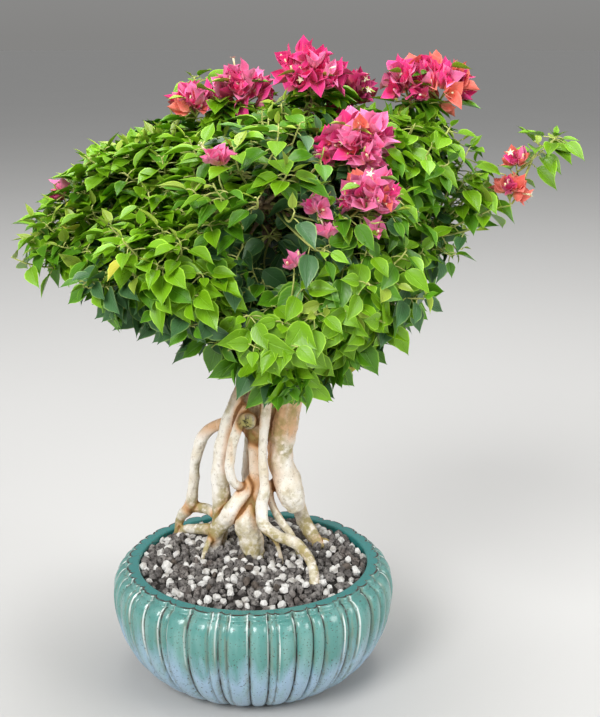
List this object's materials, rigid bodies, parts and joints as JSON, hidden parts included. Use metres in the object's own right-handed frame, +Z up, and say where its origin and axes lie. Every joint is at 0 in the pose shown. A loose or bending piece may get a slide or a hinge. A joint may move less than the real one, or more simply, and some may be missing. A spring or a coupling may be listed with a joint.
{
  "type": "bougainvillea bonsai",
  "caption": "Bougainvillea bonsai raised on bare exposed roots, with a broad crown of green leaves and pink bracts, in a round fluted ceramic pot with a gritty mix.",
  "frame": {"origin": "centre of the pot's flat underside", "axes": "+Z up, -Y towards the front of the tree as pictured, +X to the right in the picture"},
  "size_m": [0.5292, 0.3834, 0.6223],
  "materials": {
    "glaze": "glossy teal glaze that thins to brown in the grooves and runs into pale lilac below",
    "mix": "loose white and grey grit",
    "bark": "rough brown bark",
    "root": "smooth cream bark with tan creases",
    "leaf": "thin leaves with a soft sheen",
    "bract": "papery pink bracts"
  },
  "bodies": {
    "root": {"pot": "glaze", "soil": "mix", "trunk": "bark", "root_left": "root", "root_right": "root", "root_front": "root", "root_outer_left": "root", "root_crossing": "root", "root_middle": "root", "root_loop": "root", "root_knuckle": "root", "root_right_foot": "root", "root_inner": "root", "root_back": "root", "bough_left_tip": "bark", "bough_left_top": "bark", "bough_left_front": "bark", "bough_front_low": "bark", "bough_front_right": "bark", "bough_right": "bark", "bough_right_top": "bark", "bough_top_front": "bark", "bough_back_left": "bark", "bough_back": "bark", "bough_back_top": "bark", "bough_back_right": "bark", "bough_arm": "bark", "shoot_top_left": "bark", "shoot_top": "bark", "shoot_top_right": "bark", "shoot_front": "bark", "shoot_front_low": "bark", "shoot_back": "bark", "shoot_back_left": "bark", "leaves_left_tip": "leaf", "leaves_left_top": "leaf", "leaves_left_front": "leaf", "leaves_front_low": "leaf", "leaves_front_right": "leaf", "leaves_right": "leaf", "leaves_right_top": "leaf", "leaves_top_front": "leaf", "leaves_top": "leaf", "leaves_back_left": "leaf", "leaves_back": "leaf", "leaves_back_top": "leaf", "leaves_back_right": "leaf", "leaves_arm": "leaf", "bracts_top_left": "bract", "bracts_top": "bract", "bracts_top_right": "bract", "bracts_front": "bract", "bracts_front_low": "bract", "bracts_back": "bract", "bracts_back_left": "bract"}
  },
  "joints": []
}
